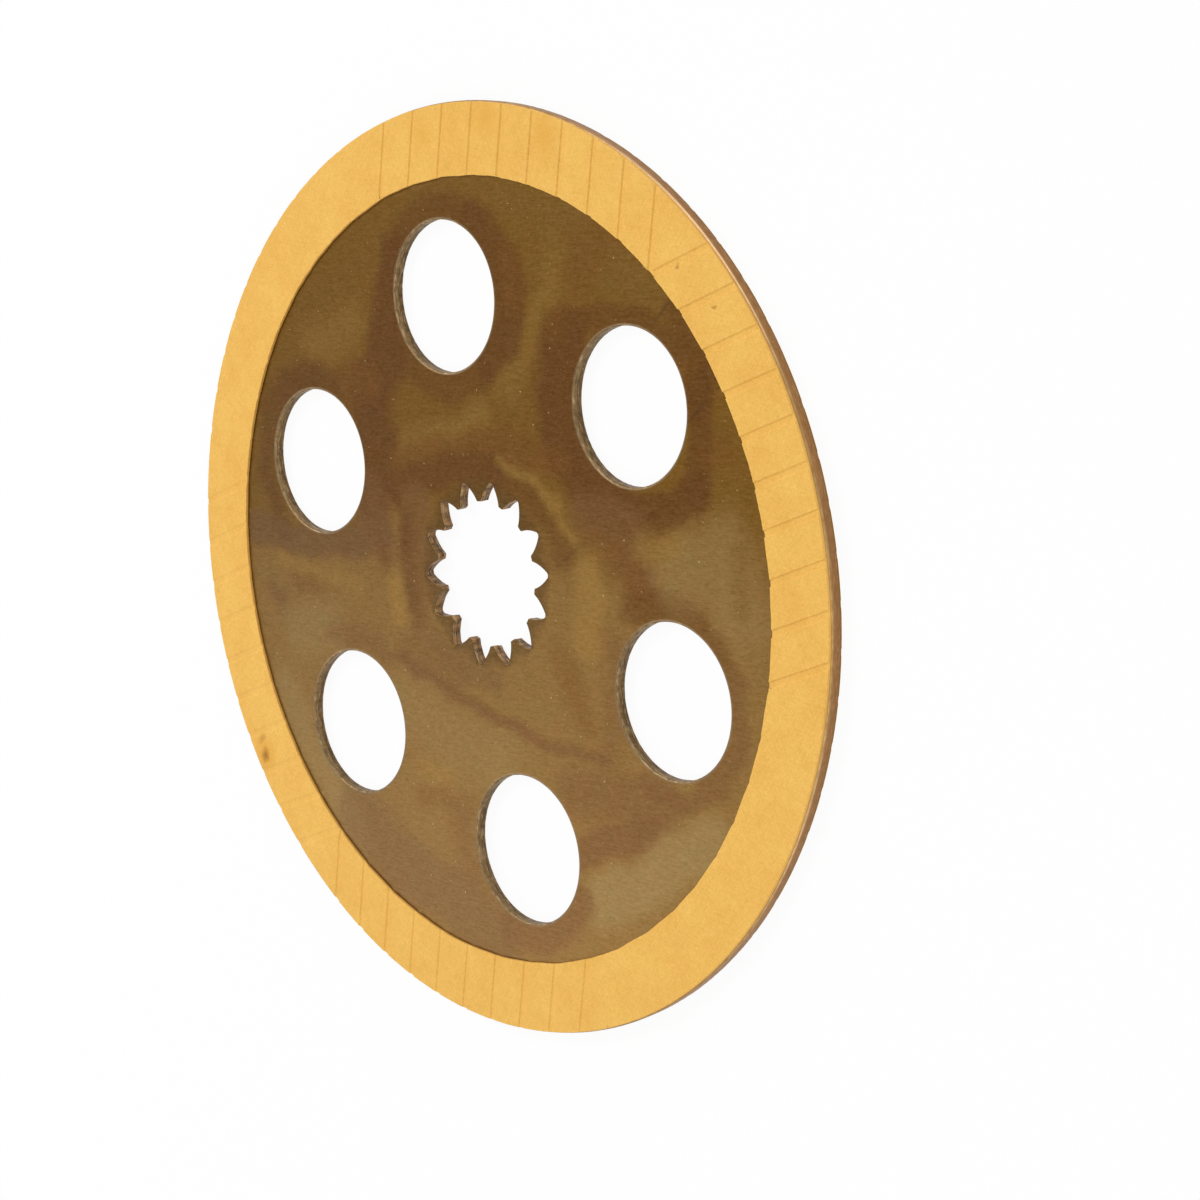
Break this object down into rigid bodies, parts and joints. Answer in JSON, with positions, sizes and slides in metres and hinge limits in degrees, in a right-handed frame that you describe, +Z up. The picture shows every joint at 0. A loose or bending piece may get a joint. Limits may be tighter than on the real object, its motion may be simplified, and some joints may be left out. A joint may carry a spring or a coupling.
{
  "type": "wet brake friction disc",
  "caption": "Oil-immersed brake disc: a flat steel plate with round windows and an involute splined bore, and a grooved ring of friction lining bonded to each face.",
  "frame": {"origin": "on the axis of the disc, on the lower friction face that it lies on", "axes": "+Z up along the axis of the disc; +X through the centre of one window; +Y by the right-hand rule"},
  "size_m": [0.2226, 0.2226, 0.0041],
  "materials": {
    "plate_steel": "semi-gloss rolled steel under a thin brown film of baked oil and bonding resin",
    "friction_lining": "matt golden friction paper, fibre bound with resin"
  },
  "bodies": {
    "root": {"core_plate": "plate_steel", "upper_lining": "friction_lining", "lower_lining": "friction_lining"}
  },
  "joints": []
}
